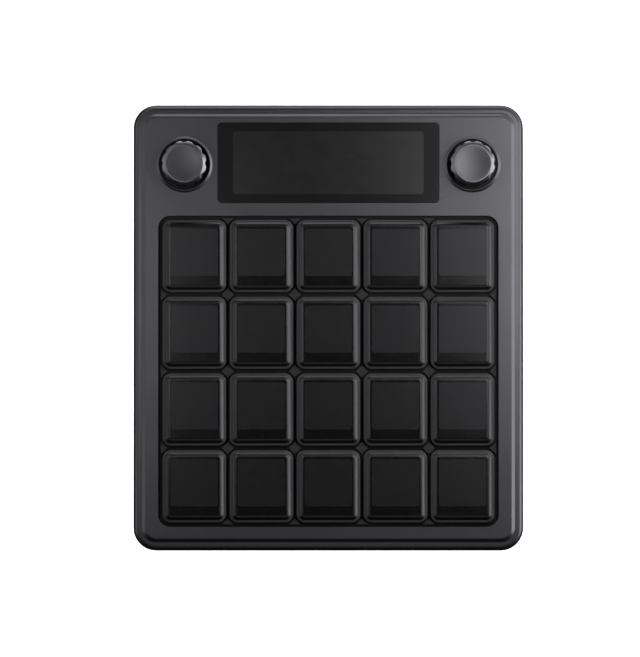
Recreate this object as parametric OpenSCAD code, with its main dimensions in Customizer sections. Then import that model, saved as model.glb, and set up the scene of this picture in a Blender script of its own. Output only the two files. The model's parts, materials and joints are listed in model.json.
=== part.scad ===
// Macro keypad: a grid of sculpted display keys, a wide display and two push-turn knobs.
// Origin: centre of the footprint on the desk. +X right, +Y towards the display end, +Z up. Millimetres.

/* [Case] */
// Distance from the sides of the case to the key opening
border = 7.4; // [6.8:0.1:10]
// Distance from the front of the case to the key opening
front_border = 7.1; // [6.8:0.1:10]
// Corner radius of the outline
body_r = 6.8; // [6:0.1:9]
// How far each side leans in from the rim down to the desk
side_lean = 1.2; // [0.4:0.1:1.6]
// Width of the rounded edge of the outer rim
rim_w = 1.9; // [1:0.1:2.2]
// Height of the rounded edge of the outer rim
rim_h = 1.6; // [1:0.1:2]
// Width of the low ledge that runs round the top
ledge_w = 0.35; // [0.2:0.05:1]
// Width of the slope from the ledge up to the top face
brow_w = 1.6; // [1.3:0.1:1.9]
// Steepest part of that slope, in degrees
brow_angle = 34; // [28:1:45]
// Radius of the rounding at the head and the foot of that slope
brow_r = 0.9; // [0.5:0.1:1]
// Radius of the lower edge of the case
base_r = 1.6; // [1:0.1:2.2]
// Thickness of the side walls
wall = 2.2; // [2:0.1:2.6]
// Thickness of the top face
top_t = 2.1; // [1.9:0.1:2.6]
// Thickness of the bottom cover
floor_t = 2.2; // [1.8:0.1:2.6]
// Height of the seam between the two shells above the desk
split_z = 6; // [5:0.5:6.5]
// Height of the lip that centres the shells on each other
lip_h = 1.5; // [1:0.1:2]
// Thickness of the lip
lip_t = 1; // [0.8:0.1:1.1]

/* [Keys] */
// Columns of keys
columns = 5; // [4:1:5]
// Rows of keys
rows = 4; // [2:1:4]
// Key spacing, left to right
pitch_x = 20; // [19.6:0.1:20.4]
// Key spacing, front to back
pitch_y = 22.9; // [22.5:0.1:23.2]
// Gap between neighbouring key heads, left to right
key_gap_x = 1; // [0.8:0.1:1.6]
// Gap between neighbouring key heads, front to back
key_gap_y = 1.3; // [0.9:0.1:1.9]
// Radius of the outer edge of a key head
key_edge_r = 0.2; // [0.1:0.05:0.4]
// Width of the narrow ledge round the shoulders
key_ledge = 0.5; // [0.3:0.1:0.7]
// Width of the rounded shoulders
key_shoulder = 1.6; // [1.2:0.05:2]
// Slope of the shoulders at their foot, in degrees
shoulder_angle = 48; // [35:1:60]
// Corner radius of the flat face of a key
key_face_r = 0.2; // [0.2:0.1:1]
// Height of the upright edge of a key head
key_skirt = 1.2; // [0.9:0.1:1.6]
// Travel of a key
key_travel = 1; // [0.6:0.1:1.2]
// Room left below a pressed key head
key_stop = 0.3; // [0.2:0.05:0.5]
// Gap between the key heads and the edge of the opening
key_margin = 1.3; // [1:0.1:1.5]
// Corner radius of the key opening
opening_r = 3.6; // [2.5:0.1:4.5]

/* [Key insides] */
// Thickness of the key frame
frame_t = 1.6; // [1.2:0.1:2]
// Half the diagonal of a stud that the frame shows where the corners of key heads meet
stud_r = 1.9; // [1.5:0.1:2.2]
// Gap between a stud and the key heads
stud_gap = 0.25; // [0.2:0.05:0.4]
// Gap between a stud and the edge of the opening
stud_margin = 0.75; // [0.2:0.05:1]
// Depth of the studs below the top face
stud_drop = 0.8; // [0.4:0.1:1.4]
// Lap of the key frame under the edge of the opening
frame_lap = 1.7; // [1:0.1:1.9]
// Distance from the side of a key head in to its stem
stem_inset = 1.4; // [1.2:0.1:1.8]
// Corner radius of a stem
stem_r = 1; // [0.5:0.1:2]
// Gap round a stem in the key frame
stem_gap = 0.2; // [0.1:0.05:0.3]
// Length of a stem below the key frame
stem_drop = 1.4; // [1.2:0.1:1.8]
// Reach of a snap hook out of the stem
hook_reach = 0.6; // [0.4:0.1:0.9]
// Length of a snap hook
hook_l = 5; // [3:0.5:8]
// Height of a snap hook
hook_h = 0.8; // [0.6:0.1:1]
// Gap between a snap hook and the key frame
hook_gap = 0.1; // [0.05:0.05:0.2]
// Distance from the side of a key head in to its display window
window_side = 2.55; // [2.3:0.05:3.5]
// Distance from the back of a key head in to its display window
window_back = 2.75; // [2.5:0.05:3.5]
// Distance from the front of a key head in to its display window
window_front = 4.95; // [3:0.05:6]
// Thickness of the silicone sheet
sheet_t = 0.6; // [0.4:0.1:1]
// Height of a spring collar on the silicone sheet
collar_h = 1.4; // [1.3:0.1:2]
// Wall thickness of a spring collar
collar_t = 0.7; // [0.5:0.1:0.9]
// Thickness of the switch board
switch_board_t = 1; // [0.8:0.1:1.2]
// Thickness of the display panel under the keys
key_display_t = 1.2; // [1:0.1:1.6]
// Thickness of the backlight
backlight_t = 1.8; // [1.4:0.1:2]
// Thickness of the floor of the tray
tray_floor_t = 1.5; // [1.2:0.1:1.6]
// Thickness of the walls of the tray
tray_wall = 1.1; // [0.8:0.1:1.2]
// Distance from the outermost key heads to the edge of the silicone sheet
stack_margin = 0.5; // [0.3:0.1:0.8]
// Corner radius of the silicone sheet
stack_r = 4.5; // [4:0.1:6]
// Distance from the edge of the silicone sheet in to the display panel
panel_inset = 1.5; // [1:0.1:2]

/* [Display] */
// Distance from the key opening to the cover glass
glass_margin = 3.85; // [3.5:0.05:8]
// Depth of the cover glass
glass_d = 23.9; // [22:0.1:24.5]
// Corner radius of the cover glass
glass_r = 1.2; // [0.5:0.1:2]
// Thickness of the cover glass
glass_t = 1.1; // [0.8:0.1:1.2]
// Distance from the back of the case to the cover glass
back_margin = 5.35; // [5:0.05:7]
// Depth of the glass below the top face
glass_sink = 0.05; // [0:0.05:0.2]
// Gap round the cover glass
glass_gap = 0.1; // [0.05:0.05:0.2]
// Thickness of the adhesive frame
tape_t = 0.15; // [0.1:0.05:0.25]
// Width of the seat at the sides of the glass
seat_x = 1.5; // [1:0.1:2]
// Width of the seat in front of and behind the glass
seat_y = 1.2; // [0.8:0.1:1.5]
// Gap round the display module in the case
module_gap = 0.3; // [0.2:0.1:0.5]
// Thickness of the display module
module_t = 1.8; // [1.4:0.1:2.4]

/* [Knobs] */
// Distance from the side of the case to the middle of a knob
knob_inset = 15.2; // [14.5:0.1:16]
// Distance of the knobs in front of the middle of the cover glass
knob_shift = 0.5; // [0:0.1:1]
// Distance from the cover glass to the middle of a knob
knob_space = 9.95; // [9.5:0.05:12]
// Thickness of the skirt of a knob at its flutes
knob_wall = 0.94; // [0.8:0.02:1.1]
// Height of a knob
knob_h = 9; // [8.8:0.1:12]
// Number of flutes round a knob
flutes = 12; // [8:1:16]
// Depth of a flute
flute_depth = 0.4; // [0.3:0.05:0.5]
// Radius of a flute
flute_r = 1.8; // [1.4:0.1:3]
// Width of the bevel round the dished face of a knob
bevel_w = 1.4; // [1:0.1:2]
// Depth of the dish in the face
face_dish = 0.35; // [0.2:0.05:0.4]
// Drop of the bevel round the face
bevel_drop = 0.65; // [0.4:0.05:1.4]
// Gap between a knob and the side of the round well it stands in
well_gap = 0.9; // [0.8:0.1:1.4]
// Depth of the well
well_depth = 1.8; // [1.2:0.1:1.9]
// Width of the raised lip round the mouth of the well
well_lip_w = 0.8; // [0.6:0.1:1.2]
// Width of the flat top of the raised lip
well_lip_flat = 0.15; // [0.1:0.05:0.3]
// Height of the raised lip
well_lip_rise = 0.4; // [0.3:0.1:0.8]
// Thickness of the floor of the well
well_floor = 1.6; // [1.2:0.1:2]
// Travel of a knob when it is pressed
push_travel = 0.5; // [0.3:0.05:0.5]
// Gap between a knob and the floor of its well
knob_gap = 0.75; // [0.7:0.05:1]

/* [Encoders] */
// Width and depth of an encoder body
encoder_w = 12; // [11:0.1:13]
// Height of an encoder body below the well
encoder_h = 6.5; // [6:0.1:6.8]
// Diameter of the threaded bushing
bushing_d = 7; // [6.8:0.1:7.4]
// Height of the bushing above the encoder body
bushing_h = 5; // [4.8:0.1:5.2]
// Diameter of the shaft
shaft_d = 6; // [5.6:0.1:6.1]
// Running clearance of the shaft in its bushing, on the radius
shaft_fit = 0.05; // [0.03:0.01:0.08]
// Distance from the shaft's axis to its flat
shaft_flat = 1.5; // [1.2:0.1:2]
// Thickness of a nut
nut_t = 1.6; // [1.2:0.1:1.8]
// Width of a nut across its flats
nut_w = 8.8; // [8.4:0.1:9]
// Thickness of a washer
washer_t = 0.4; // [0.3:0.1:0.6]
// Diameter of a push-switch plunger
plunger_d = 4.4; // [3.5:0.1:4.8]
// Height of a push-switch plunger
plunger_h = 1.3; // [1.2:0.1:1.5]

/* [Boards and fasteners] */
// Thickness of the main and control boards
board_t = 1.6; // [1.2:0.1:1.7]
// Height of the standoffs of the main board
standoff_h = 2.2; // [2:0.1:2.4]
// Outer diameter of the standoffs
standoff_d = 5; // [4.4:0.1:5.2]
// Diameter of the posts that carry the tray
post_d = 5; // [4:0.1:5.4]
// Diameter of the pillars that carry the control board
pillar_d = 4.4; // [4:0.1:4.8]
// Diameter of the screw bosses in the corners
boss_d = 4.6; // [4.4:0.1:5]
// Thread diameter of all screws
screw_d = 2; // [1.8:0.1:2.2]
// Head diameter of the screws
head_d = 3.8; // [3.4:0.1:4]
// Head height of the screws
head_h = 1.2; // [1:0.1:1.25]
// Outer diameter of the brass inserts
insert_d = 3; // [2.8:0.1:3.2]
// Length of the brass inserts
insert_l = 4; // [3:0.5:5]
// Width of the USB-C inlet
usb_w = 8.94; // [8.9:0.01:9]
// Height of the USB-C inlet
usb_h = 3.26; // [3.2:0.01:3.3]
// Length of the USB-C inlet
usb_l = 7.35; // [7:0.05:7.6]
// Diameter of the rubber feet
foot_d = 10; // [8:0.5:12]
// Height of the feet below the bottom cover
foot_drop = 1; // [0.6:0.1:1.4]
// Depth of the seats of the feet
foot_seat = 0.6; // [0.4:0.1:1]

/* [Hidden] */
$fn = 48;
arc_steps = 8;          // facets in a quarter turn of a rounded section
fine_steps = 3;         // facets of a narrow edge
cut = 1;                // how far a cutter runs past what it cuts
slip = 0.15;            // clearance between parts that drop into each other
flex_t = 0.2;           // thickness of the ribbons
flex_r = 0.8;           // bend radius of the ribbons
key_flex_w = 28;        // width of the key display's ribbon
switch_flex_w = 12;     // width of the switch board's ribbon
display_flex_w = 12;    // width of the wide display's ribbon
switch_flex_x = 23;     // middle of the switch board's ribbon
connector_l = 5;        // length of a ribbon connector, front to back
connector_h = 1.2;      // height of a ribbon connector
connector_rim = 0.8;    // how much wider than its ribbon a connector is on each side
flex_seat_l = 6;        // length of ribbon bonded under the wide display
header_w = 16;          // width of the header between the boards
header_d = 4;           // depth of the header
header_setback = 7;     // from the rear edge of the control board to the middle of the header
knob_top_t = 1.5;       // metal left above the shaft in a knob
knob_fit = 0.03;        // clearance of the shaft in its knob, on the radius
switch_floor = 0.6;     // floor of an encoder body under its plunger
screw_sink = 0.6;       // depth of the case screws' heads below the bottom face
thread_l = 3;           // thread of a board screw in its pillar
tip_room = 0.8;         // hole left beyond the tip of a board screw
screw_margin = 4;       // from a main board screw to the edge of the board
control_screw_margin = 3.1; // from a control board screw to the edge of the board
boss_bite = 0.3;        // how far the screw bosses run into the side walls
post_margin = 0.4;      // from a tray post in to the side of the tray
post_end = 15;          // from a tray post to the end of the tray
board_gap = 0.8;        // between the edge of a board and the wall or post beside it
tray_gap = 0.2;         // between the tray and the screw heads on the main board
main_reach = 32;        // how far the main board runs in front of the middle of the keys
ribbon_room = 2;        // between the tray and the control board
usb_gap = 1;            // between the control board and the USB-C inlet
usb_shell = 0.3;        // thickness of the inlet's shell
usb_end = 1;            // thickness of the inlet's closed inner end
tongue_w = 6.7;         // width of the inlet's tongue
tongue_t = 0.7;         // thickness of the inlet's tongue
foot_inset = 7.3;       // from a case screw in to the middle of a foot, both ways

// Each chip's middle (x, and y from the middle of the keys), width, depth and height
chips = [[-12, 4, 10, 10, 0.9], [6, 8, 8, 6, 0.8], [-30, -6, 6, 5, 0.8], [22, -4, 7, 7, 0.9],
         [-12, -8, 3.2, 2.5, 0.7]];

case_color = "#4b4b4f";
key_color = "#1c1c1e";
board_color = "#1d3b2a";
metal_color = "#b9b9b4";
brass_color = "#b8954a";
rubber_color = "#222222";
ribbon_color = "#9a6a24";

// Heights, from the desk up
floor_z = foot_drop + floor_t;
main_board_z = floor_z + standoff_h;
main_top_z = main_board_z + board_t;
tray_z = main_top_z + head_h + tray_gap;
backlight_z = tray_z + tray_floor_t;
key_display_z = backlight_z + backlight_t;
switch_board_z = key_display_z + key_display_t;
sheet_z = switch_board_z + switch_board_t;
stem_z = sheet_z + sheet_t + collar_h;
frame_z = stem_z + stem_drop;
plate_z = frame_z + frame_t;
body_h = plate_z + top_t;
brow_flank = brow_w - 2 * brow_r * sin(brow_angle);
ledge_z = body_h - 2 * brow_r * (1 - cos(brow_angle)) - brow_flank * tan(brow_angle);
rim_z = ledge_z - rim_h;
head_z = plate_z + key_travel + key_stop;
brim_z = head_z + key_skirt;
shoulder_r = key_shoulder / sin(shoulder_angle);
crown_z = brim_z + shoulder_r * (1 - cos(shoulder_angle));
glass_z = body_h - glass_sink - glass_t;
tape_z = glass_z - tape_t;
module_z = glass_z - module_t;
well_z = body_h - well_depth;
encoder_top_z = well_z - well_floor;
control_board_top_z = encoder_top_z - encoder_h;
control_board_z = control_board_top_z - board_t;
bushing_top_z = encoder_top_z + bushing_h;
knob_z = well_z + knob_gap;
plunger_z = control_board_top_z + switch_floor + push_travel + shaft_fit;
shaft_z = plunger_z + plunger_h + shaft_fit;
boss_z = split_z + lip_h + slip;
case_screw_z = foot_drop + screw_sink + head_h;

// Keys
key_w = pitch_x - key_gap_x;
key_d = pitch_y - key_gap_y;
key_r = key_face_r + key_shoulder + key_ledge + key_edge_r;
keys_w = (columns - 1) * pitch_x + key_w;
keys_d = (rows - 1) * pitch_y + key_d;
opening_w = keys_w + 2 * key_margin;
opening_d = keys_d + 2 * key_margin;
stem_w = key_w - 2 * stem_inset;
stem_d = key_d - 2 * stem_inset;
window_w = key_w - 2 * window_side;
window_d = key_d - window_back - window_front;
window_y = (window_front - window_back) / 2;

// Plan of the case
body_w = opening_w + 2 * border;
body_d = front_border + opening_d + glass_margin + glass_d + back_margin;
cavity_w = body_w - 2 * (side_lean + wall);
cavity_d = body_d - 2 * (side_lean + wall);
cavity_r = body_r - side_lean - wall;
boss_x = cavity_w / 2 - boss_d / 2 + boss_bite;
boss_y = cavity_d / 2 - boss_d / 2 + boss_bite;
foot_x = boss_x - foot_inset;
foot_y = boss_y - foot_inset;
keys_y = front_border + opening_d / 2 - body_d / 2;

// Plan of the stack under the keys
stack_w = keys_w + 2 * stack_margin;
stack_d = keys_d + 2 * stack_margin;
panel_w = stack_w - 2 * panel_inset;
panel_d = stack_d - 2 * panel_inset;
tray_w = stack_w + 2 * (slip + tray_wall);
tray_d = stack_d + 2 * (slip + tray_wall);
tray_r = stack_r + slip + tray_wall;
tray_back_y = keys_y + tray_d / 2;
post_x = tray_w / 2 - post_d / 2 - post_margin;
post_y = tray_d / 2 - post_end;

// Plan of the display and the knobs
display_y = body_d / 2 - back_margin - glass_d / 2;
knob_x = body_w / 2 - knob_inset;
knob_y = display_y - knob_shift;
glass_w = 2 * (knob_x - knob_space);
module_w = glass_w - 2 * (seat_x + module_gap);
module_d = glass_d - 2 * (seat_y + module_gap);
washer_d = nut_w / cos(30);
knob_bore_d = washer_d + 4 * slip;
knob_d = knob_bore_d + 2 * (knob_wall + flute_depth);
face_d = knob_d - 2 * bevel_w;
well_d = knob_d + 2 * well_gap;

// Plan of the boards
usb_y = body_d / 2 - side_lean - usb_l;
main_w = 2 * (post_x - post_d / 2 - board_gap);
main_back_y = cavity_d / 2 - board_gap;
main_front_y = keys_y - main_reach;
main_screw_x = main_w / 2 - screw_margin;
main_screw_y = [main_front_y + screw_margin, main_back_y - screw_margin];
control_w = cavity_w - 2 * board_gap;
control_front_y = tray_back_y + ribbon_room;
control_back_y = usb_y - usb_gap;
control_screw_x = (module_w / 2 + module_gap + knob_x - encoder_w / 2) / 2;
control_screw_y = [control_front_y + control_screw_margin, control_back_y - control_screw_margin];

function key_name(row, column) = str("key_r", row, "c", column);
function key_place(row, column) =
    [(column - (columns + 1) / 2) * pitch_x, keys_y + ((rows + 1) / 2 - row) * pitch_y];
function lean(z) = side_lean * (rim_z - z) / rim_z;
function arc(x, y, r, from, to, steps = arc_steps) =
    [for (i = [0:steps]) let (a = from + (to - from) * i / steps) [x + r * cos(a), y + r * sin(a)]];

// ---- Shared shapes ----

module rounded_rect(w, d, r) {
    square([w - 2 * r, d], center = true);
    square([w, d - 2 * r], center = true);
    for (x = [-1, 1], y = [-1, 1]) translate([x * (w / 2 - r), y * (d / 2 - r)]) circle(r = r);
}

// A straight slab of rounded-rectangle plan
module slab(w, d, r, z, h) {
    translate([0, 0, z]) linear_extrude(h) rounded_rect(w, d, r);
}

// A block of rounded-rectangle plan with a shaped edge. Its child is the edge's section,
// from the centre of the corner arcs (x = 0) out to the face (x = r), standing from z to z + h at x = 0.
module edged_block(w, d, r, z, h) {
    translate([r - w / 2, r - d / 2, z]) cube([w - 2 * r, d - 2 * r, h]);
    for (turn = [0:3]) {
        across = turn % 2 == 0 ? w : d;
        along = turn % 2 == 0 ? d : w;
        rotate(90 * turn) translate([across / 2 - r, along / 2 - r, 0]) {
            rotate_extrude(angle = 90) children();
            rotate([90, 0, 0]) linear_extrude(along - 2 * r) children();
        }
    }
}

module at_corners(x, y) {
    for (i = [-1, 1], j = [-1, 1]) translate([i * x, j * y, 0]) children();
}

module at_screws(x, ys) {
    for (i = [-1, 1], y = ys) translate([i * x, y, 0]) children();
}

module at_keys() {
    for (row = [1:rows], column = [1:columns]) translate(key_place(row, column)) children();
}

module at_knobs() {
    for (i = [-1, 1]) translate([i * knob_x, knob_y, 0]) children();
}

// ---- Case ----

module top_section() {
    slope_x = body_r - rim_w - ledge_w;
    polygon(concat(
        [[0, split_z], [body_r - lean(split_z), split_z]],
        [for (i = [0:arc_steps]) let (a = 90 * i / arc_steps)
            [body_r - rim_w + rim_w * cos(a), rim_z + rim_h * sin(a)]],
        arc(slope_x, ledge_z + brow_r, brow_r, 270, 270 - brow_angle, arc_steps / 2),
        arc(slope_x - brow_w, body_h - brow_r, brow_r, 90 - brow_angle, 90, arc_steps / 2),
        [[0, body_h]]));
}

module bottom_section() {
    base_x = body_r - lean(foot_drop) - base_r;
    polygon(concat(
        [[0, split_z], [0, foot_drop]],
        arc(base_x, foot_drop + base_r, base_r, 270, 360),
        [[body_r - lean(split_z), split_z]]));
}

module usb_outline(gap) {
    rounded_rect(usb_w + 2 * gap, usb_h + 2 * gap, usb_h / 2 + gap - usb_shell);
}

// The way in for the plug, from outside the rear wall to the inlet's inner end
module usb_way() {
    translate([0, body_d / 2 + cut, main_top_z + usb_h / 2])
        rotate([90, 0, 0]) linear_extrude(body_d / 2 + cut - usb_y) usb_outline(slip);
}

// The collar that slopes up from the top face to the mouth of a knob's well
module well_lip() {
    outer_r = well_d / 2 + well_lip_w;
    lip_z = body_h + well_lip_rise;
    rotate_extrude() polygon([[0, body_h - top_t / 2], [outer_r, body_h - top_t / 2], [outer_r, body_h],
                              [well_d / 2 + well_lip_flat, lip_z], [0, lip_z]]);
}

module top_case() color(case_color) difference() {
    union() {
        difference() {
            edged_block(body_w, body_d, body_r, split_z, body_h - split_z) top_section();
            slab(cavity_w, cavity_d, cavity_r, split_z - cut, plate_z - split_z + cut);
            slab(cavity_w + 2 * lip_t + slip, cavity_d + 2 * lip_t + slip, cavity_r + lip_t + slip / 2,
                 split_z - cut, lip_h + slip + cut);
        }
        at_knobs() {
            translate([0, 0, encoder_top_z])
                cylinder(d = well_d + 2 * wall, h = plate_z - encoder_top_z + top_t / 2);
            well_lip();
        }
        at_corners(boss_x, boss_y) translate([0, 0, boss_z])
            cylinder(d = boss_d, h = plate_z - boss_z + top_t / 2);
        at_screws(control_screw_x, control_screw_y) translate([0, 0, control_board_top_z])
            cylinder(d = pillar_d, h = plate_z - control_board_top_z + top_t / 2);
    }
    translate([0, keys_y, 0]) slab(opening_w, opening_d, opening_r, plate_z - cut, top_t + 2 * cut);
    translate([0, display_y, 0]) {
        slab(glass_w + 2 * glass_gap, glass_d + 2 * glass_gap, glass_r + glass_gap, tape_z, body_h);
        slab(module_w + 2 * module_gap, module_d + 2 * module_gap, glass_r, plate_z - cut, body_h);
    }
    at_knobs() {
        translate([0, 0, well_z]) cylinder(d = well_d, h = body_h);
        translate([0, 0, encoder_top_z - cut]) cylinder(d = bushing_d + 2 * slip, h = body_h);
    }
    at_corners(boss_x, boss_y) translate([0, 0, boss_z - cut]) cylinder(d = insert_d, h = insert_l + cut);
    at_screws(control_screw_x, control_screw_y) translate([0, 0, control_board_top_z - cut])
        cylinder(d = screw_d, h = thread_l + tip_room + cut);
    usb_way();
}

module bottom_cover() color(case_color) difference() {
    union() {
        difference() {
            union() {
                edged_block(body_w, body_d, body_r, foot_drop, split_z - foot_drop) bottom_section();
                slab(cavity_w + 2 * lip_t, cavity_d + 2 * lip_t, cavity_r + lip_t,
                     split_z - cut, lip_h + cut);
            }
            slab(cavity_w, cavity_d, cavity_r, floor_z, body_h);
        }
        at_corners(boss_x, boss_y) translate([0, 0, foot_drop + base_r])
            cylinder(d = boss_d, h = boss_z - foot_drop - base_r);
        at_screws(main_screw_x, main_screw_y) translate([0, 0, floor_z - floor_t / 2])
            cylinder(d = standoff_d, h = standoff_h + floor_t / 2);
        at_screws(post_x, [keys_y - post_y, keys_y + post_y]) translate([0, 0, floor_z - floor_t / 2])
            cylinder(d = post_d, h = tray_z - floor_z + floor_t / 2);
    }
    at_corners(boss_x, boss_y) {
        translate([0, 0, foot_drop - cut]) cylinder(d = head_d + 2 * slip, h = head_h + screw_sink + cut);
        cylinder(d = screw_d + 2 * slip, h = body_h);
    }
    at_screws(main_screw_x, main_screw_y) translate([0, 0, floor_z - tip_room])
        cylinder(d = screw_d, h = body_h);
    at_corners(foot_x, foot_y) translate([0, 0, foot_drop - cut])
        cylinder(d = foot_d + 2 * slip, h = foot_seat + cut);
    usb_way();
}

module rubber_feet() color(rubber_color)
    at_corners(foot_x, foot_y) cylinder(d = foot_d, h = foot_drop + foot_seat);

// ---- Keys ----

// Half the section of a key head, from the centre of its corner arcs out to its edge
module key_section(r) {
    polygon(concat(
        [[0, head_z], [r, head_z]],
        arc(r - key_edge_r, brim_z - key_edge_r, key_edge_r, 0, 90, fine_steps),
        arc(key_face_r, crown_z - shoulder_r, shoulder_r, 90 - shoulder_angle, 90),
        [[0, crown_z]]));
}

// The hook's upper face is flat, and its lower face slopes so that it can snap through the frame
module snap_hook() {
    rotate([90, 0, 0]) translate([0, 0, -hook_l / 2]) linear_extrude(hook_l)
        polygon([[-stem_r, 0], [hook_reach, 0], [hook_reach, -hook_h / 4], [0, -hook_h], [-stem_r, -hook_h]]);
}

module keycap(row, column) {
    translate(key_place(row, column)) color(key_color) {
        edged_block(key_w, key_d, key_r, head_z, crown_z - head_z) key_section(key_r);
        slab(stem_w, stem_d, stem_r, stem_z, head_z - stem_z);
        for (side = [0, 180]) rotate(side) translate([stem_w / 2, 0, frame_z - hook_gap]) snap_hook();
    }
}

// The frame rises to a stud wherever the corners of key heads meet
module frame_studs() {
    linear_extrude(body_h - stud_drop - frame_z) difference() {
        intersection() {
            translate([0, keys_y])
                rounded_rect(opening_w - 2 * stud_margin, opening_d - 2 * stud_margin,
                             opening_r - stud_margin);
            for (row = [0:rows], column = [0:columns])
                if (row % rows != 0 || column % columns != 0)
                    translate([(column - columns / 2) * pitch_x, keys_y + (row - rows / 2) * pitch_y])
                        circle(r = stud_r, $fn = 4);
        }
        at_keys() rounded_rect(key_w + 2 * stud_gap, key_d + 2 * stud_gap, key_r + stud_gap);
    }
}

module key_frame() color(case_color) difference() {
    union() {
        translate([0, keys_y, 0])
            slab(opening_w + 2 * frame_lap, opening_d + 2 * frame_lap, opening_r + frame_lap,
                 frame_z, frame_t);
        translate([0, 0, frame_z]) frame_studs();
    }
    translate([0, 0, frame_z - cut]) linear_extrude(frame_t + 2 * cut) {
        at_keys() rounded_rect(stem_w + 2 * stem_gap, stem_d + 2 * stem_gap, stem_r + stem_gap);
        at_corners(boss_x, boss_y) circle(d = boss_d + 2 * slip);
    }
}

// ---- Stack under the keys ----

module dome_sheet() color(rubber_color) difference() {
    union() {
        translate([0, keys_y, 0]) slab(stack_w, stack_d, stack_r, sheet_z, sheet_t);
        at_keys() slab(window_w + 2 * collar_t, stem_d - 2 * stem_gap, stem_r, sheet_z, sheet_t + collar_h);
    }
    translate([0, window_y, sheet_z - cut]) linear_extrude(stem_z - sheet_z + 2 * cut)
        at_keys() rounded_rect(window_w, window_d, stem_r / 2);
}

module switch_board() color(board_color) difference() {
    translate([0, keys_y, 0]) slab(stack_w, stack_d, stack_r, switch_board_z, switch_board_t);
    translate([0, window_y, switch_board_z - cut]) linear_extrude(switch_board_t + 2 * cut)
        at_keys() rounded_rect(window_w + 2 * slip, window_d + 2 * slip, stem_r / 2);
}

module key_display() color(key_color)
    translate([-panel_w / 2, keys_y - panel_d / 2, key_display_z]) cube([panel_w, panel_d, key_display_t]);

module backlight() color("white")
    translate([-panel_w / 2, keys_y - panel_d / 2, backlight_z]) cube([panel_w, panel_d, backlight_t]);

module display_tray() color(rubber_color) difference() {
    translate([0, keys_y, 0]) slab(tray_w, tray_d, tray_r, tray_z, frame_z - tray_z);
    translate([0, keys_y, 0])
        slab(stack_w + 2 * slip, stack_d + 2 * slip, stack_r + slip, switch_board_z, body_h);
    translate([0, keys_y, 0]) slab(panel_w + 2 * slip, panel_d + 2 * slip, slip, backlight_z, body_h);
    translate([-key_flex_w / 2 - slip, keys_y, backlight_z])
        cube([key_flex_w + 2 * slip, tray_d, switch_board_z - backlight_z]);
    translate([switch_flex_x - switch_flex_w / 2 - slip, keys_y + panel_d / 2, backlight_z])
        cube([switch_flex_w + 2 * slip, tray_d, sheet_z - backlight_z]);
}

// ---- Ribbons: each is a strip whose side view is drawn in Y and Z ----

module strip(x, w) {
    translate([x - w / 2, 0, 0]) rotate([90, 0, 90]) linear_extrude(w) children();
}

module bend(y, z, r, from) {
    translate([y, z]) rotate(from) intersection() {
        difference() {
            circle(r = r);
            circle(r = r - flex_t);
        }
        square(r + cut);
    }
}

// Leaves the stack level at top_z, turns down behind the tray and ends level on the main board's connector
module stepped_ribbon(top_z) {
    y_start = keys_y + panel_d / 2;
    y_end = control_front_y + connector_l;
    turn_y = (tray_back_y + control_front_y) / 2 + flex_t / 2;
    low_z = main_top_z + connector_h;
    translate([y_start, top_z - flex_t]) square([turn_y - flex_r - y_start, flex_t]);
    bend(turn_y - flex_r, top_z - flex_r, flex_r, 0);
    translate([turn_y - flex_t, low_z + flex_r]) square([flex_t, top_z - low_z - 2 * flex_r]);
    bend(turn_y - flex_t + flex_r, low_z + flex_r, flex_r, 180);
    translate([turn_y - flex_t + flex_r, low_z]) square([y_end - turn_y + flex_t - flex_r, flex_t]);
}

module key_display_flex() color(ribbon_color) strip(0, key_flex_w) stepped_ribbon(switch_board_z);

module switch_flex() color(ribbon_color) strip(switch_flex_x, switch_flex_w) stepped_ribbon(switch_board_z);

module display_flex() color(ribbon_color) strip(0, display_flex_w) {
    low_z = control_board_top_z + connector_h;
    loop_r = (module_z - low_z) / 2;
    loop_y = display_y + module_d / 2 - flex_r;
    translate([loop_y - flex_seat_l, module_z - flex_t]) square([flex_seat_l, flex_t]);
    bend(loop_y, module_z - loop_r, loop_r, 0);
    bend(loop_y, module_z - loop_r, loop_r, 270);
    translate([display_y, low_z]) square([loop_y - display_y, flex_t]);
}

// ---- Display ----

module display_glass() color("#141416") translate([0, display_y, 0])
    slab(glass_w, glass_d, glass_r, glass_z, glass_t);

module display_tape() color("black") translate([0, display_y, 0]) difference() {
    slab(glass_w, glass_d, glass_r, tape_z, tape_t);
    slab(module_w + 2 * module_gap, module_d + 2 * module_gap, glass_r, tape_z - cut, tape_t + 2 * cut);
}

module display_panel() color("#242428") translate([0, display_y, 0])
    slab(module_w, module_d, glass_r / 2, module_z, module_t);

// ---- Encoders and knobs ----

module encoder(x) color(metal_color) translate([x, knob_y, 0]) difference() {
    union() {
        translate([-encoder_w / 2, -encoder_w / 2, control_board_top_z])
            cube([encoder_w, encoder_w, encoder_h]);
        translate([0, 0, encoder_top_z - cut]) cylinder(d = bushing_d, h = bushing_h + cut);
    }
    translate([0, 0, shaft_z - push_travel - 2 * shaft_fit])
        cylinder(r = shaft_d / 2 + shaft_fit, h = body_h);
    translate([0, 0, plunger_z - push_travel - shaft_fit]) cylinder(d = plunger_d + 4 * slip, h = plunger_h);
}

module washer(x) color(metal_color) translate([x, knob_y, well_z]) difference() {
    cylinder(d = washer_d, h = washer_t);
    translate([0, 0, -cut]) cylinder(d = bushing_d + slip, h = washer_t + 2 * cut);
}

module nut(x) color(metal_color) translate([x, knob_y, well_z + washer_t]) difference() {
    cylinder(d = washer_d, h = nut_t, $fn = 6);
    translate([0, 0, -cut]) cylinder(d = bushing_d + slip / 2, h = nut_t + 2 * cut);
}

// The shaft's outline where it carries the knob: a circle with a flat
module shaft_outline(gap) {
    intersection() {
        circle(r = shaft_d / 2 + gap);
        translate([-shaft_d, -shaft_d]) square([2 * shaft_d, shaft_d + shaft_flat + gap]);
    }
}

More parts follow.
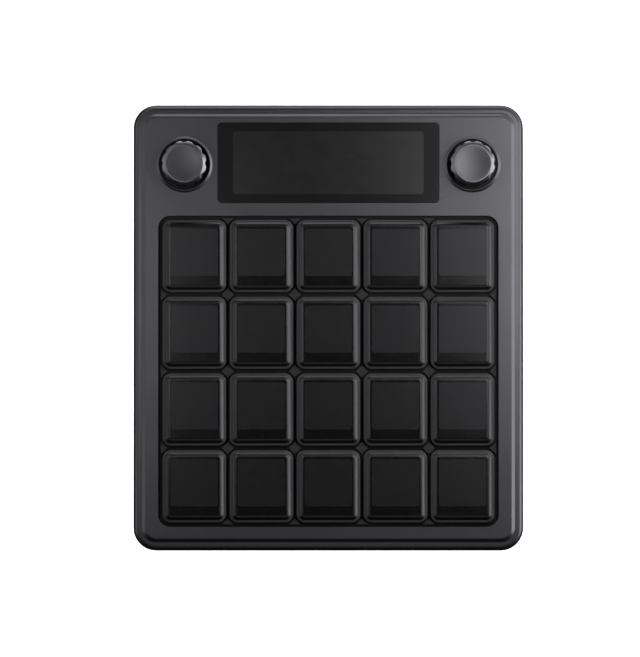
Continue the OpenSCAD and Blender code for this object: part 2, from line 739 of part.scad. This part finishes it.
module shaft(x) color(metal_color) translate([x, knob_y, 0]) {
    translate([0, 0, shaft_z]) cylinder(d = shaft_d, h = bushing_top_z - shaft_z);
    translate([0, 0, bushing_top_z]) linear_extrude(knob_z + knob_h - knob_top_t - slip - bushing_top_z)
        shaft_outline(0);
}

module plunger(x) color("ivory") translate([x, knob_y, plunger_z]) cylinder(d = plunger_d, h = plunger_h);

module knob(x) color("#55555b") translate([x, knob_y, knob_z]) difference() {
    dish_r = (pow(face_d / 2, 2) + pow(face_dish, 2)) / (2 * face_dish);
    bottom_break = 0.3;
    rotate_extrude() polygon([
        [0, 0], [knob_d / 2 - bottom_break, 0], [knob_d / 2, bottom_break], [knob_d / 2, knob_h - bevel_drop],
        [face_d / 2 + bottom_break, knob_h], [0, knob_h]]);
    for (i = [0:flutes - 1]) rotate(360 * i / flutes)
        translate([knob_d / 2 - flute_depth + flute_r, 0, -cut]) cylinder(r = flute_r, h = knob_h + 2 * cut);
    translate([0, 0, knob_h - face_dish + dish_r]) sphere(r = dish_r, $fn = 96);
    translate([0, 0, -cut])
        cylinder(d = knob_bore_d, h = bushing_top_z - knob_z + push_travel + slip + cut);
    linear_extrude(knob_h - knob_top_t) shaft_outline(knob_fit);
}

// ---- Boards ----

module control_board() color(board_color) difference() {
    translate([-control_w / 2, control_front_y, control_board_z])
        cube([control_w, control_back_y - control_front_y, board_t]);
    at_screws(control_screw_x, control_screw_y) translate([0, 0, control_board_z - cut])
        cylinder(d = screw_d + 2 * slip, h = board_t + 2 * cut);
}

module main_board() color(board_color) difference() {
    translate([-main_w / 2, main_front_y, main_board_z]) cube([main_w, main_back_y - main_front_y, board_t]);
    at_screws(main_screw_x, main_screw_y) translate([0, 0, main_board_z - cut])
        cylinder(d = screw_d + 2 * slip, h = board_t + 2 * cut);
}

// Processor, memory, power and display driver chips, and the crystal
module board_chips() color("#2a2a2c")
    for (chip = chips) translate([chip[0] - chip[2] / 2, keys_y + chip[1] - chip[3] / 2, main_top_z])
        cube([chip[2], chip[3], chip[4]]);

module ribbon_connector(x, ribbon_w, y, z) {
    translate([x - ribbon_w / 2 - connector_rim, y, z])
        cube([ribbon_w + 2 * connector_rim, connector_l, connector_h]);
}

// Ribbon connectors and the header that joins the two boards
module board_connectors() color("#d8d2c0") {
    ribbon_connector(0, key_flex_w, control_front_y, main_top_z);
    ribbon_connector(switch_flex_x, switch_flex_w, control_front_y, main_top_z);
    ribbon_connector(0, display_flex_w, display_y, control_board_top_z);
    translate([-main_w / 4, control_back_y - header_setback, (main_top_z + control_board_z) / 2])
        cube([header_w, header_d, control_board_z - main_top_z], center = true);
}

module usb_port() color(metal_color)
    translate([0, usb_y + usb_l, main_top_z + usb_h / 2]) rotate([90, 0, 0]) {
    difference() {
        linear_extrude(usb_l) usb_outline(0);
        translate([0, 0, -cut]) linear_extrude(usb_l - usb_end + cut) usb_outline(-usb_shell);
    }
    translate([-tongue_w / 2, -tongue_t / 2, usb_end]) cube([tongue_w, tongue_t, usb_l - 1.5 * usb_end]);
}

// ---- Fasteners ----

// A screw with its head's underside at z = 0, pointing up
module screw(l) {
    translate([0, 0, -head_h]) difference() {
        cylinder(d = head_d, h = head_h);
        translate([0, 0, -cut]) cylinder(d = head_d / 2, h = head_h / 2 + cut, $fn = 6);
    }
    translate([0, 0, -head_h / 4]) cylinder(d = screw_d - slip, h = l + head_h / 4);
}

module case_screws() color("#303034") at_corners(boss_x, boss_y)
    translate([0, 0, case_screw_z]) screw(boss_z + insert_l - screw_sink - case_screw_z);

module case_inserts() color(brass_color) at_corners(boss_x, boss_y) translate([0, 0, boss_z]) difference() {
    cylinder(d = insert_d, h = insert_l);
    translate([0, 0, -cut]) cylinder(d = screw_d, h = insert_l + 2 * cut);
}

module board_screws() color(metal_color) {
    at_screws(main_screw_x, main_screw_y) translate([0, 0, main_top_z])
        mirror([0, 0, 1]) screw(standoff_h + board_t);
    at_screws(control_screw_x, control_screw_y) translate([0, 0, control_board_z]) screw(board_t + thread_l);
}

// ---- Sides of the paired pieces ----

module left_encoder() encoder(-knob_x);
module right_encoder() encoder(knob_x);
module left_washer() washer(-knob_x);
module right_washer() washer(knob_x);
module left_nut() nut(-knob_x);
module right_nut() nut(knob_x);
module left_shaft() shaft(-knob_x);
module right_shaft() shaft(knob_x);
module left_plunger() plunger(-knob_x);
module right_plunger() plunger(knob_x);
module left_knob() knob(-knob_x);
module right_knob() knob(knob_x);

top_case();
bottom_cover();
key_frame();
display_glass();
display_tape();
display_panel();
display_flex();
dome_sheet();
switch_board();
key_display();
backlight();
display_tray();
key_display_flex();
switch_flex();
control_board();
main_board();
board_chips();
board_connectors();
usb_port();
left_encoder();
right_encoder();
left_washer();
right_washer();
left_nut();
right_nut();
left_shaft();
right_shaft();
left_plunger();
right_plunger();
left_knob();
right_knob();
case_screws();
case_inserts();
board_screws();
rubber_feet();
for (row = [1:rows], column = [1:columns])
    keycap(row, column);
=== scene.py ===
"""The looks of a macro keypad: its materials, lights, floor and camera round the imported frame."""

import json
import math

import bpy
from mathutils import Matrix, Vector


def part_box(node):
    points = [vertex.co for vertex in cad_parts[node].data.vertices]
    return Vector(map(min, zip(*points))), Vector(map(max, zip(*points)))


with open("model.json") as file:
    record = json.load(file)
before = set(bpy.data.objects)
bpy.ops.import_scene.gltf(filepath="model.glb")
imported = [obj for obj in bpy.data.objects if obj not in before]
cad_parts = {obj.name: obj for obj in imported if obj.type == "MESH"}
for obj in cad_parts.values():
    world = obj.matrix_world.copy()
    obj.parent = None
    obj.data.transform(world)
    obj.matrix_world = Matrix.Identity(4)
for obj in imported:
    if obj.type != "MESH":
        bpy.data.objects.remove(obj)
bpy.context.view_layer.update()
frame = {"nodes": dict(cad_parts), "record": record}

MM = 0.001
NODES = frame["nodes"]
SLOTS = {part["node"]: part["material_slot"] for part in frame["record"]["subparts"]}

# ---- Camera ----

IMAGE_WIDTH, IMAGE_HEIGHT = 640, 657
CASE_FACE = 21 * MM              # height of the case's flat top face
VIEW_WIDTH = 191.0 * MM          # width of the picture at that height
VIEW_CENTRE = Vector((-2.5 * MM, -0.25 * MM, CASE_FACE))
CAMERA_DISTANCE = 2.3
CAMERA_TILT = math.radians(1.3)  # lean of the camera from straight above towards the front
SENSOR = 36.0                    # width of the camera's sensor in millimetres


def make_camera():
    camera = bpy.data.cameras.new("studio_camera")
    camera.sensor_width = SENSOR
    camera.sensor_fit = "AUTO"
    long_side = VIEW_WIDTH * IMAGE_HEIGHT / IMAGE_WIDTH
    camera.lens = SENSOR * CAMERA_DISTANCE / long_side
    camera.clip_start, camera.clip_end = 0.05, 20
    camera.dof.use_dof = False
    holder = bpy.data.objects.new("studio_camera", camera)
    bpy.context.collection.objects.link(holder)
    back = Vector((0, -math.sin(CAMERA_TILT), math.cos(CAMERA_TILT)))
    holder.location = VIEW_CENTRE + back * CAMERA_DISTANCE
    holder.rotation_euler = (-back).to_track_quat("-Z", "Y").to_euler()
    bpy.context.scene.camera = holder


# ---- Node helpers ----


def new_material(name):
    """A material with its node tree and its Principled shader."""
    material = bpy.data.materials.new(name)
    material.use_nodes = True
    tree = material.node_tree
    return material, tree, tree.nodes["Principled BSDF"]


def add(tree, kind, **settings):
    node = tree.nodes.new(kind)
    for key, value in settings.items():
        setattr(node, key, value)
    return node


def link(tree, source, target):
    tree.links.new(source, target)


def feed(tree, socket, value):
    """Links a socket, or sets it if the value is plain."""
    if isinstance(value, bpy.types.NodeSocket):
        link(tree, value, socket)
    else:
        socket.default_value = value


def arithmetic(tree, operation, first, second=0.0):
    node = add(tree, "ShaderNodeMath", operation=operation)
    feed(tree, node.inputs[0], first)
    feed(tree, node.inputs[1], second)
    return node.outputs[0]


def vector_arithmetic(tree, operation, first, second):
    node = add(tree, "ShaderNodeVectorMath", operation=operation)
    feed(tree, node.inputs[0], first)
    feed(tree, node.inputs[1], second)
    return node.outputs[0]


def remap(tree, value, low, high, to_low, to_high):
    """Takes low to to_low and high to to_high, smoothly between them and level outside them."""
    node = add(tree, "ShaderNodeMapRange", clamp=True, interpolation_type="SMOOTHSTEP")
    for index, number in enumerate((value, low, high, to_low, to_high)):
        feed(tree, node.inputs[index], number)
    return node.outputs[0]


def mix_colours(tree, share, first, second):
    node = add(tree, "ShaderNodeMix", data_type="RGBA")
    feed(tree, node.inputs["Factor"], share)
    colour_inputs = [socket for socket in node.inputs if socket.type == "RGBA"]
    feed(tree, colour_inputs[0], first)
    feed(tree, colour_inputs[1], second)
    return next(socket for socket in node.outputs if socket.type == "RGBA")


def noise(tree, coordinates, scale, detail=2.0, roughness=0.5):
    """A noise pattern from 0 to 1. Scale is about the number of its spots in a metre."""
    node = add(tree, "ShaderNodeTexNoise")
    node.inputs["Scale"].default_value = scale
    node.inputs["Detail"].default_value = detail
    node.inputs["Roughness"].default_value = roughness
    link(tree, coordinates, node.inputs["Vector"])
    return node.outputs["Fac"]


def bump(tree, height, strength, distance):
    node = add(tree, "ShaderNodeBump")
    node.inputs["Strength"].default_value = strength
    node.inputs["Distance"].default_value = distance
    link(tree, height, node.inputs["Height"])
    return node.outputs["Normal"]


def object_coordinates(tree):
    """Places in the frame, in metres, with the pieces at rest: each object's origin is the frame's."""
    return add(tree, "ShaderNodeTexCoord").outputs["Object"]


def parts_of(tree, vector):
    """The x, y and z of a vector."""
    node = add(tree, "ShaderNodeSeparateXYZ")
    link(tree, vector, node.inputs[0])
    return node.outputs[:3]


def places_on(tree, box):
    """x and y from the middle of a node's box, and the depth below its top, in metres.

    They go by each object's own box, so they also serve its twins, such as the other keys."""
    low, high = box
    generated = add(tree, "ShaderNodeTexCoord").outputs["Generated"]
    from_middle = vector_arithmetic(tree, "SUBTRACT", generated, (0.5, 0.5, 0.5))
    x, y, z = parts_of(tree, vector_arithmetic(tree, "MULTIPLY", from_middle, tuple(high - low)))
    return x, y, arithmetic(tree, "SUBTRACT", (high.z - low.z) / 2, z)


# ---- Masks and colours ----


def above(tree, value, edge, softness):
    """1 where a value is above an edge and 0 below it, with a soft step between."""
    return remap(tree, value, edge - softness, edge + softness, 0.0, 1.0)


def below(tree, value, edge, softness):
    """1 where a value is below an edge and 0 above it, with a soft step between."""
    return remap(tree, value, edge - softness, edge + softness, 1.0, 0.0)


def both(tree, first, second):
    """A mask of what lies in two masks."""
    return arithmetic(tree, "MULTIPLY", first, second)


def length_of(tree, x, y):
    """The length of the vector (x, y)."""
    return arithmetic(tree, "SQRT", arithmetic(tree, "ADD", arithmetic(tree, "MULTIPLY", x, x),
                                               arithmetic(tree, "MULTIPLY", y, y)))


def rectangle_mask(tree, x, y, middle_y, size, corner, softness):
    """1 inside a rectangle with rounded corners and 0 outside it."""
    across = arithmetic(tree, "ABSOLUTE", x)
    along = arithmetic(tree, "ABSOLUTE", arithmetic(tree, "SUBTRACT", y, middle_y))
    past_side = arithmetic(tree, "MAXIMUM", arithmetic(tree, "SUBTRACT", across, size[0] / 2 - corner), 0.0)
    past_end = arithmetic(tree, "MAXIMUM", arithmetic(tree, "SUBTRACT", along, size[1] / 2 - corner), 0.0)
    return below(tree, length_of(tree, past_side, past_end), corner, softness)


def grey(value, blue=1.0):
    """A grey, or a cooler one where blue is more than 1."""
    return (value, value, value * blue, 1.0)


# ---- Materials ----

METAL_GRAIN = 9000              # noise scale of the anodised metal
MOULDED_GRAIN = 4000            # noise scale of the moulded surfaces
MOULDED_DEPTH = 0.01 * MM       # height of their grain

WELL_GAP = 1.0 * MM             # from a knob to a little past the side of the well that it stands in
WELL_EDGE = 0.05 * MM           # softness of the well's mask at its side
WELL_SHADE_DEPTH = 0.5 * MM     # from the well's mouth to where the painted shade starts
WELL_SHADE_EDGE = 0.2 * MM      # softness of the mask there


def painted_well_shade_mask(tree, places):
    """1 inside the round wells that the knobs stand in, a little below their mouths: where shade is painted
    into the metal's colour.
    """
    low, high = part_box("right_knob")
    middle = (low + high) / 2
    x, y, z = parts_of(tree, places)
    across = arithmetic(tree, "SUBTRACT", arithmetic(tree, "ABSOLUTE", x), middle.x)
    along = arithmetic(tree, "SUBTRACT", y, middle.y)
    inside = below(tree, length_of(tree, across, along), (high.x - low.x) / 2 + WELL_GAP, WELL_EDGE)
    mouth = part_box("top_case")[1].z
    return both(tree, inside, below(tree, z, mouth - WELL_SHADE_DEPTH, WELL_SHADE_EDGE))


def case_material():
    """Bead-blasted aluminium, anodised gunmetal: a fine even grain with a soft sheen, with shade painted dark
    into the wells.
    """
    material, tree, shader = new_material("case_metallic")
    places = object_coordinates(tree)
    grain = noise(tree, places, METAL_GRAIN, 3, 0.6)
    cloud = noise(tree, places, 60, 3, 0.55)
    patches = remap(tree, cloud, 0.3, 0.7, 0.0, 1.0)
    tint = mix_colours(tree, patches, (0.094, 0.094, 0.104, 1), (0.104, 0.104, 0.115, 1))
    speckled = mix_colours(tree, remap(tree, grain, 0.25, 0.75, 0.0, 0.35), tint, (0.14, 0.14, 0.15, 1))
    # Painted shade: the metal's colour is darkened inside the wells, below their mouths, to stand in for the
    # shade there.
    base_with_painted_shade = mix_colours(tree, painted_well_shade_mask(tree, places), speckled, grey(0.02))
    link(tree, base_with_painted_shade, shader.inputs["Base Color"])
    shader.inputs["Metallic"].default_value = 1.0
    link(tree, remap(tree, grain, 0.2, 0.8, 0.36, 0.44), shader.inputs["Roughness"])
    link(tree, bump(tree, grain, 0.12, 0.02 * MM), shader.inputs["Normal"])
    return material


KEY_WINDOW = (13.9 * MM, 13.9 * MM)
KEY_WINDOW_SHIFT = 1.1 * MM      # from the middle of the key's face towards the back
KEY_WINDOW_CORNER = 0.6 * MM
KEY_WINDOW_EDGE = 0.18 * MM      # softness of the window's edge
KEY_FACE_DEPTH = 0.04 * MM       # the flat face ends here, below the key's top
KEY_SHOULDER_DEPTH = 0.66 * MM   # the shoulders end here
KEY_BRIM_DEPTH = 0.98 * MM       # the brim round the shoulders ends here
KEY_STEP = 0.02 * MM             # softness of the masks at these depths
KEY_BRIM_EDGE = 0.05 * MM


def key_material():
    """Keycap: black, with satin shoulders, a smoked display window in its face, and a matt brim."""
    material, tree, shader = new_material("key_plastic")
    x, y, depth = places_on(tree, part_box("key_r1c1"))
    face = below(tree, depth, KEY_FACE_DEPTH, KEY_STEP)
    window = both(tree, face, rectangle_mask(tree, x, y, KEY_WINDOW_SHIFT, KEY_WINDOW,
                                             KEY_WINDOW_CORNER, KEY_WINDOW_EDGE))
    shoulders = both(tree, above(tree, depth, KEY_FACE_DEPTH, KEY_STEP),
                     below(tree, depth, KEY_SHOULDER_DEPTH, KEY_STEP))
    brim = both(tree, above(tree, depth, KEY_SHOULDER_DEPTH + KEY_STEP, KEY_STEP),
                below(tree, depth, KEY_BRIM_DEPTH, KEY_BRIM_EDGE))
    satin = arithmetic(tree, "MAXIMUM", window, shoulders)
    plain = mix_colours(tree, brim, grey(0.003), grey(0.03))
    sheen = mix_colours(tree, window, grey(0.053, blue=1.08), grey(0.043, blue=1.06))
    link(tree, mix_colours(tree, satin, plain, sheen), shader.inputs["Base Color"])
    link(tree, satin, shader.inputs["Metallic"])
    haze = noise(tree, object_coordinates(tree), 700, 3)
    roughness = remap(tree, haze, 0.3, 0.7, 0.22, 0.26)
    roughness = arithmetic(tree, "ADD", roughness, arithmetic(tree, "MULTIPLY", brim, 0.25))
    roughness = arithmetic(tree, "ADD", roughness, arithmetic(tree, "MULTIPLY", satin, 0.12))
    link(tree, roughness, shader.inputs["Roughness"])
    shader.inputs["IOR"].default_value = 1.42
    return material


DISPLAY_AREA = (56.9 * MM, 18.7 * MM)
DISPLAY_CORNER = 0.9 * MM
DISPLAY_EDGE = 0.12 * MM         # softness of the area's edge


def glass_material():
    """Cover glass with a black printed border. The unlit display behind it is a shade lighter."""
    material, tree, shader = new_material("cover_glass")
    x, y = places_on(tree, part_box("display_glass"))[:2]
    area = rectangle_mask(tree, x, y, 0.0, DISPLAY_AREA, DISPLAY_CORNER, DISPLAY_EDGE)
    link(tree, mix_colours(tree, area, grey(0.004), grey(0.062)), shader.inputs["Base Color"])
    link(tree, area, shader.inputs["Metallic"])
    haze = noise(tree, object_coordinates(tree), 300, 3)
    link(tree, remap(tree, haze, 0.3, 0.7, 0.29, 0.31), shader.inputs["Roughness"])
    shader.inputs["IOR"].default_value = 1.37
    return material


KNOB_FACE_RADIUS = 5.35 * MM     # the dished face ends and the bevel starts here
KNOB_BEVEL_DEPTH = 0.71 * MM     # the bevel ends here, below the knob's top
KNOB_EDGE = 0.05 * MM            # softness of the masks there
RING_PITCH = 0.16 * MM           # from one turning mark to the next


def knob_material():
    """Turned and anodised aluminium: faint rings on the face, a brighter bevel, satin sides."""
    material, tree, shader = new_material("knob_metal")
    x, y, depth = places_on(tree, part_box("left_knob"))
    radius = length_of(tree, x, y)
    bevel = both(tree, above(tree, radius, KNOB_FACE_RADIUS, KNOB_EDGE),
                 below(tree, depth, KNOB_BEVEL_DEPTH, KNOB_EDGE))
    grain = noise(tree, object_coordinates(tree), METAL_GRAIN, 3, 0.6)
    anodised = mix_colours(tree, grain, (0.1, 0.1, 0.108, 1), (0.12, 0.12, 0.13, 1))
    link(tree, mix_colours(tree, bevel, anodised, (0.165, 0.165, 0.175, 1)), shader.inputs["Base Color"])
    shader.inputs["Metallic"].default_value = 1.0
    satin = remap(tree, grain, 0.2, 0.8, 0.34, 0.4)
    roughness = arithmetic(tree, "SUBTRACT", satin, arithmetic(tree, "MULTIPLY", bevel, 0.07))
    link(tree, roughness, shader.inputs["Roughness"])
    rings = arithmetic(tree, "SINE", arithmetic(tree, "MULTIPLY", radius, 2 * math.pi / RING_PITCH))
    link(tree, bump(tree, rings, 0.06, 0.002 * MM), shader.inputs["Normal"])
    return material


STUD_LIGHT_DEPTH = 0.175 * MM     # the painted light ends here, below the studs' tops
STUD_LIGHT_EDGE = 0.075 * MM      # softness of the mask there


def frame_material():
    """Black moulded plate under the keys. The tops of its studs are painted lighter, as painted light where
    the lamps fall on them.
    """
    material, tree, shader = new_material("frame_plastic")
    places = object_coordinates(tree)
    stud_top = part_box("key_frame")[1].z
    painted_top_light = above(tree, parts_of(tree, places)[2], stud_top - STUD_LIGHT_DEPTH, STUD_LIGHT_EDGE)
    grain = noise(tree, places, MOULDED_GRAIN)
    plate = mix_colours(tree, grain, grey(0.006), grey(0.009))
    # Painted light: the studs' tops get a lighter grey than the plate, to stand in for the light that falls
    # on them.
    link(tree, mix_colours(tree, painted_top_light, plate, grey(0.03)), shader.inputs["Base Color"])
    link(tree, remap(tree, grain, 0.2, 0.8, 0.5, 0.6), shader.inputs["Roughness"])
    link(tree, bump(tree, grain, 0.25, MOULDED_DEPTH), shader.inputs["Normal"])
    shader.inputs["IOR"].default_value = 1.32
    return material


def moulded_plastic(name, colour, roughness):
    """A moulded surface with a fine grain and slight patches of a darker tint."""
    material, tree, shader = new_material(name)
    places = object_coordinates(tree)
    grain = noise(tree, places, MOULDED_GRAIN)
    cloud = noise(tree, places, 90)
    darker = tuple(0.82 * channel for channel in colour) + (1.0,)
    tint = mix_colours(tree, remap(tree, cloud, 0.3, 0.7, 0.0, 1.0), darker, colour + (1.0,))
    link(tree, tint, shader.inputs["Base Color"])
    link(tree, remap(tree, grain, 0.2, 0.8, roughness - 0.05, roughness + 0.05), shader.inputs["Roughness"])
    link(tree, bump(tree, grain, 0.25, MOULDED_DEPTH), shader.inputs["Normal"])
    return material


def metal(name, colour, roughness):
    """A plated or turned metal with a faint grain."""
    material, tree, shader = new_material(name)
    grain = noise(tree, object_coordinates(tree), 2500, 3)
    lighter = tuple(min(1.0, 1.15 * channel) for channel in colour) + (1.0,)
    link(tree, mix_colours(tree, grain, colour + (1.0,), lighter), shader.inputs["Base Color"])
    shader.inputs["Metallic"].default_value = 1.0
    link(tree, remap(tree, grain, 0.3, 0.7, roughness - 0.05, roughness + 0.05), shader.inputs["Roughness"])
    return material


MATERIALS = {
    "case_metallic": case_material(),
    "key_plastic": key_material(),
    "cover_glass": glass_material(),
    "knob_metal": knob_material(),
    "frame_plastic": frame_material(),
    "adhesive": moulded_plastic("adhesive", (0.01, 0.01, 0.01), 0.8),
    "lcd_panel": moulded_plastic("lcd_panel", (0.02, 0.02, 0.023), 0.25),
    "ribbon": moulded_plastic("ribbon", (0.45, 0.22, 0.06), 0.4),
    "silicone": moulded_plastic("silicone", (0.03, 0.03, 0.03), 0.6),
    "circuit_board": moulded_plastic("circuit_board", (0.02, 0.09, 0.05), 0.35),
    "light_guide": moulded_plastic("light_guide", (0.85, 0.86, 0.88), 0.2),
    "chip_black": moulded_plastic("chip_black", (0.03, 0.03, 0.032), 0.55),
    "connector_plastic": moulded_plastic("connector_plastic", (0.75, 0.71, 0.62), 0.45),
    "foot_rubber": moulded_plastic("foot_rubber", (0.025, 0.025, 0.025), 0.75),
    "plated_steel": metal("plated_steel", (0.6, 0.6, 0.6), 0.3),
    "black_steel": metal("black_steel", (0.06, 0.06, 0.065), 0.35),
    "insert_brass": metal("insert_brass", (0.65, 0.45, 0.16), 0.3),
}

# ---- Smooth surfaces with small broken edges on the CAD pieces ----

EDGE_BREAKS = {
    "top_case": 0.12 * MM, "bottom_cover": 0.12 * MM, "display_glass": 0.15 * MM, "key_frame": 0.08 * MM,
    "left_knob": 0.12 * MM, "right_knob": 0.12 * MM, "rubber_feet": 0.25 * MM,
}
SHARP_ANGLE = math.radians(28)   # where faces meet at more than this, the edge is broken
WELD_GAP = 0.001 * MM


def dress(node_name, piece):
    """Gives a CAD node its material, smooth shading and broken edges. Its own mesh keeps its shape."""
    piece.data.materials.clear()
    piece.data.materials.append(MATERIALS[SLOTS[node_name]])
    piece.data.polygons.foreach_set("use_smooth", [True] * len(piece.data.polygons))
    weld = piece.modifiers.new("weld", "WELD")
    weld.merge_threshold = WELD_GAP
    if node_name in EDGE_BREAKS:
        edge_break = piece.modifiers.new("edge_break", "BEVEL")
        edge_break.width = EDGE_BREAKS[node_name]
        edge_break.segments = 2
        edge_break.limit_method = "ANGLE"
        edge_break.angle_limit = SHARP_ANGLE
        edge_break.harden_normals = False
    shading = piece.modifiers.new("shading", "WEIGHTED_NORMAL")
    shading.mode = "FACE_AREA"
    shading.weight = 100
    shading.keep_sharp = False


for name, node_object in NODES.items():
    dress(name, node_object)

# ---- Floor, world and lights ----

FLOOR_SIZE = 12
FLOOR_LAMP_POWER = 6.0
WORLD_LIGHT = 0.01               # what the white world lends the part, as a share of what the camera sees

LIGHT_AIM = Vector((0, 0, 20 * MM))
STUDIO_DISTANCE = 0.8            # from that point to the far lights, in metres like the sizes of the lights
SMALL_LAMP = (0.1, 0.08)
SOFTBOX = (0.6, 0.32)
STRIP = (0.6, 0.22)


def make_floor():
    """A sheet of white paper that stays white: its own lamp lights it alone and casts no shadow."""
    bpy.ops.mesh.primitive_plane_add(size=FLOOR_SIZE, location=(0, 0, 0))
    floor = bpy.context.object
    floor.name = "floor"
    material, tree, shader = new_material("floor_paper")
    speck = noise(tree, object_coordinates(tree), 400)
    link(tree, mix_colours(tree, speck, grey(0.86), grey(0.9)), shader.inputs["Base Color"])
    shader.inputs["Roughness"].default_value = 0.9
    floor.data.materials.append(material)
    floor.visible_glossy = False
    floor.visible_diffuse = False
    return floor


def light_floor(floor):
    lamp = bpy.data.lights.new("floor_lamp", "SUN")
    lamp.energy = FLOOR_LAMP_POWER
    lamp.use_shadow = False
    holder = bpy.data.objects.new("floor_lamp", lamp)
    bpy.context.collection.objects.link(holder)
    only_floor = bpy.data.collections.new("lit_by_floor_lamp")
    only_floor.objects.link(floor)
    holder.light_linking.receiver_collection = only_floor


def make_world():
    """A white world behind the part, which lights it only faintly."""
    world = bpy.data.worlds.new("studio")
    bpy.context.scene.world = world
    world.use_nodes = True
    tree = world.node_tree
    background = tree.nodes["Background"]
    path = add(tree, "ShaderNodeLightPath")
    strength = arithmetic(tree, "MULTIPLY_ADD", path.outputs["Is Camera Ray"], 1.0 - WORLD_LIGHT)
    strength.node.inputs[2].default_value = WORLD_LIGHT
    link(tree, strength, background.inputs["Strength"])
    background.inputs["Color"].default_value = (1, 1, 1, 1)


def area_light(name, azimuth, elevation, distance, size, power):
    """A softbox round the part. Azimuth 0 is the right side, 90 the back, 180 the left and 270 the front."""
    lamp = bpy.data.lights.new(name, "AREA")
    lamp.shape = "RECTANGLE"
    lamp.size, lamp.size_y = size
    lamp.energy = power
    holder = bpy.data.objects.new(name, lamp)
    bpy.context.collection.objects.link(holder)
    around, up = math.radians(azimuth), math.radians(elevation)
    outwards = Vector((math.cos(around) * math.cos(up), math.sin(around) * math.cos(up), math.sin(up)))
    holder.location = LIGHT_AIM + distance * outwards
    holder.rotation_euler = (-outwards).to_track_quat("-Z", "Y").to_euler()
    holder.visible_camera = False


def make_lights():
    """Lamps near the part shade its flat top, and the far lights pick out its edges and shoulders."""
    area_light("right_lamp", 15, 62, 0.2, SMALL_LAMP, 0.077)
    area_light("left_lamp", 168, 62, 0.2, SMALL_LAMP, 0.048)
    area_light("back_right_lamp", 45, 55, 0.25, (0.12, 0.1), 0.09)
    area_light("front_lamp", 270, 60, 0.36, (0.18, 0.14), 0.031)
    area_light("back_left_softbox", 135, 32, STUDIO_DISTANCE, (0.5, 0.3), 0.41)
    area_light("right_softbox", 0, 27, STUDIO_DISTANCE, SOFTBOX, 2.9)
    area_light("back_right_strip", 45, 10, STUDIO_DISTANCE, STRIP, 1.4)
    area_light("back_strip", 90, 10, STUDIO_DISTANCE, STRIP, 1.75)
    area_light("left_softbox", 180, 27, STUDIO_DISTANCE, SOFTBOX, 0.75)


make_camera()
light_floor(make_floor())
make_world()
make_lights()

scene = bpy.context.scene
scene.view_settings.view_transform = "Standard"
scene.view_settings.look = "None"
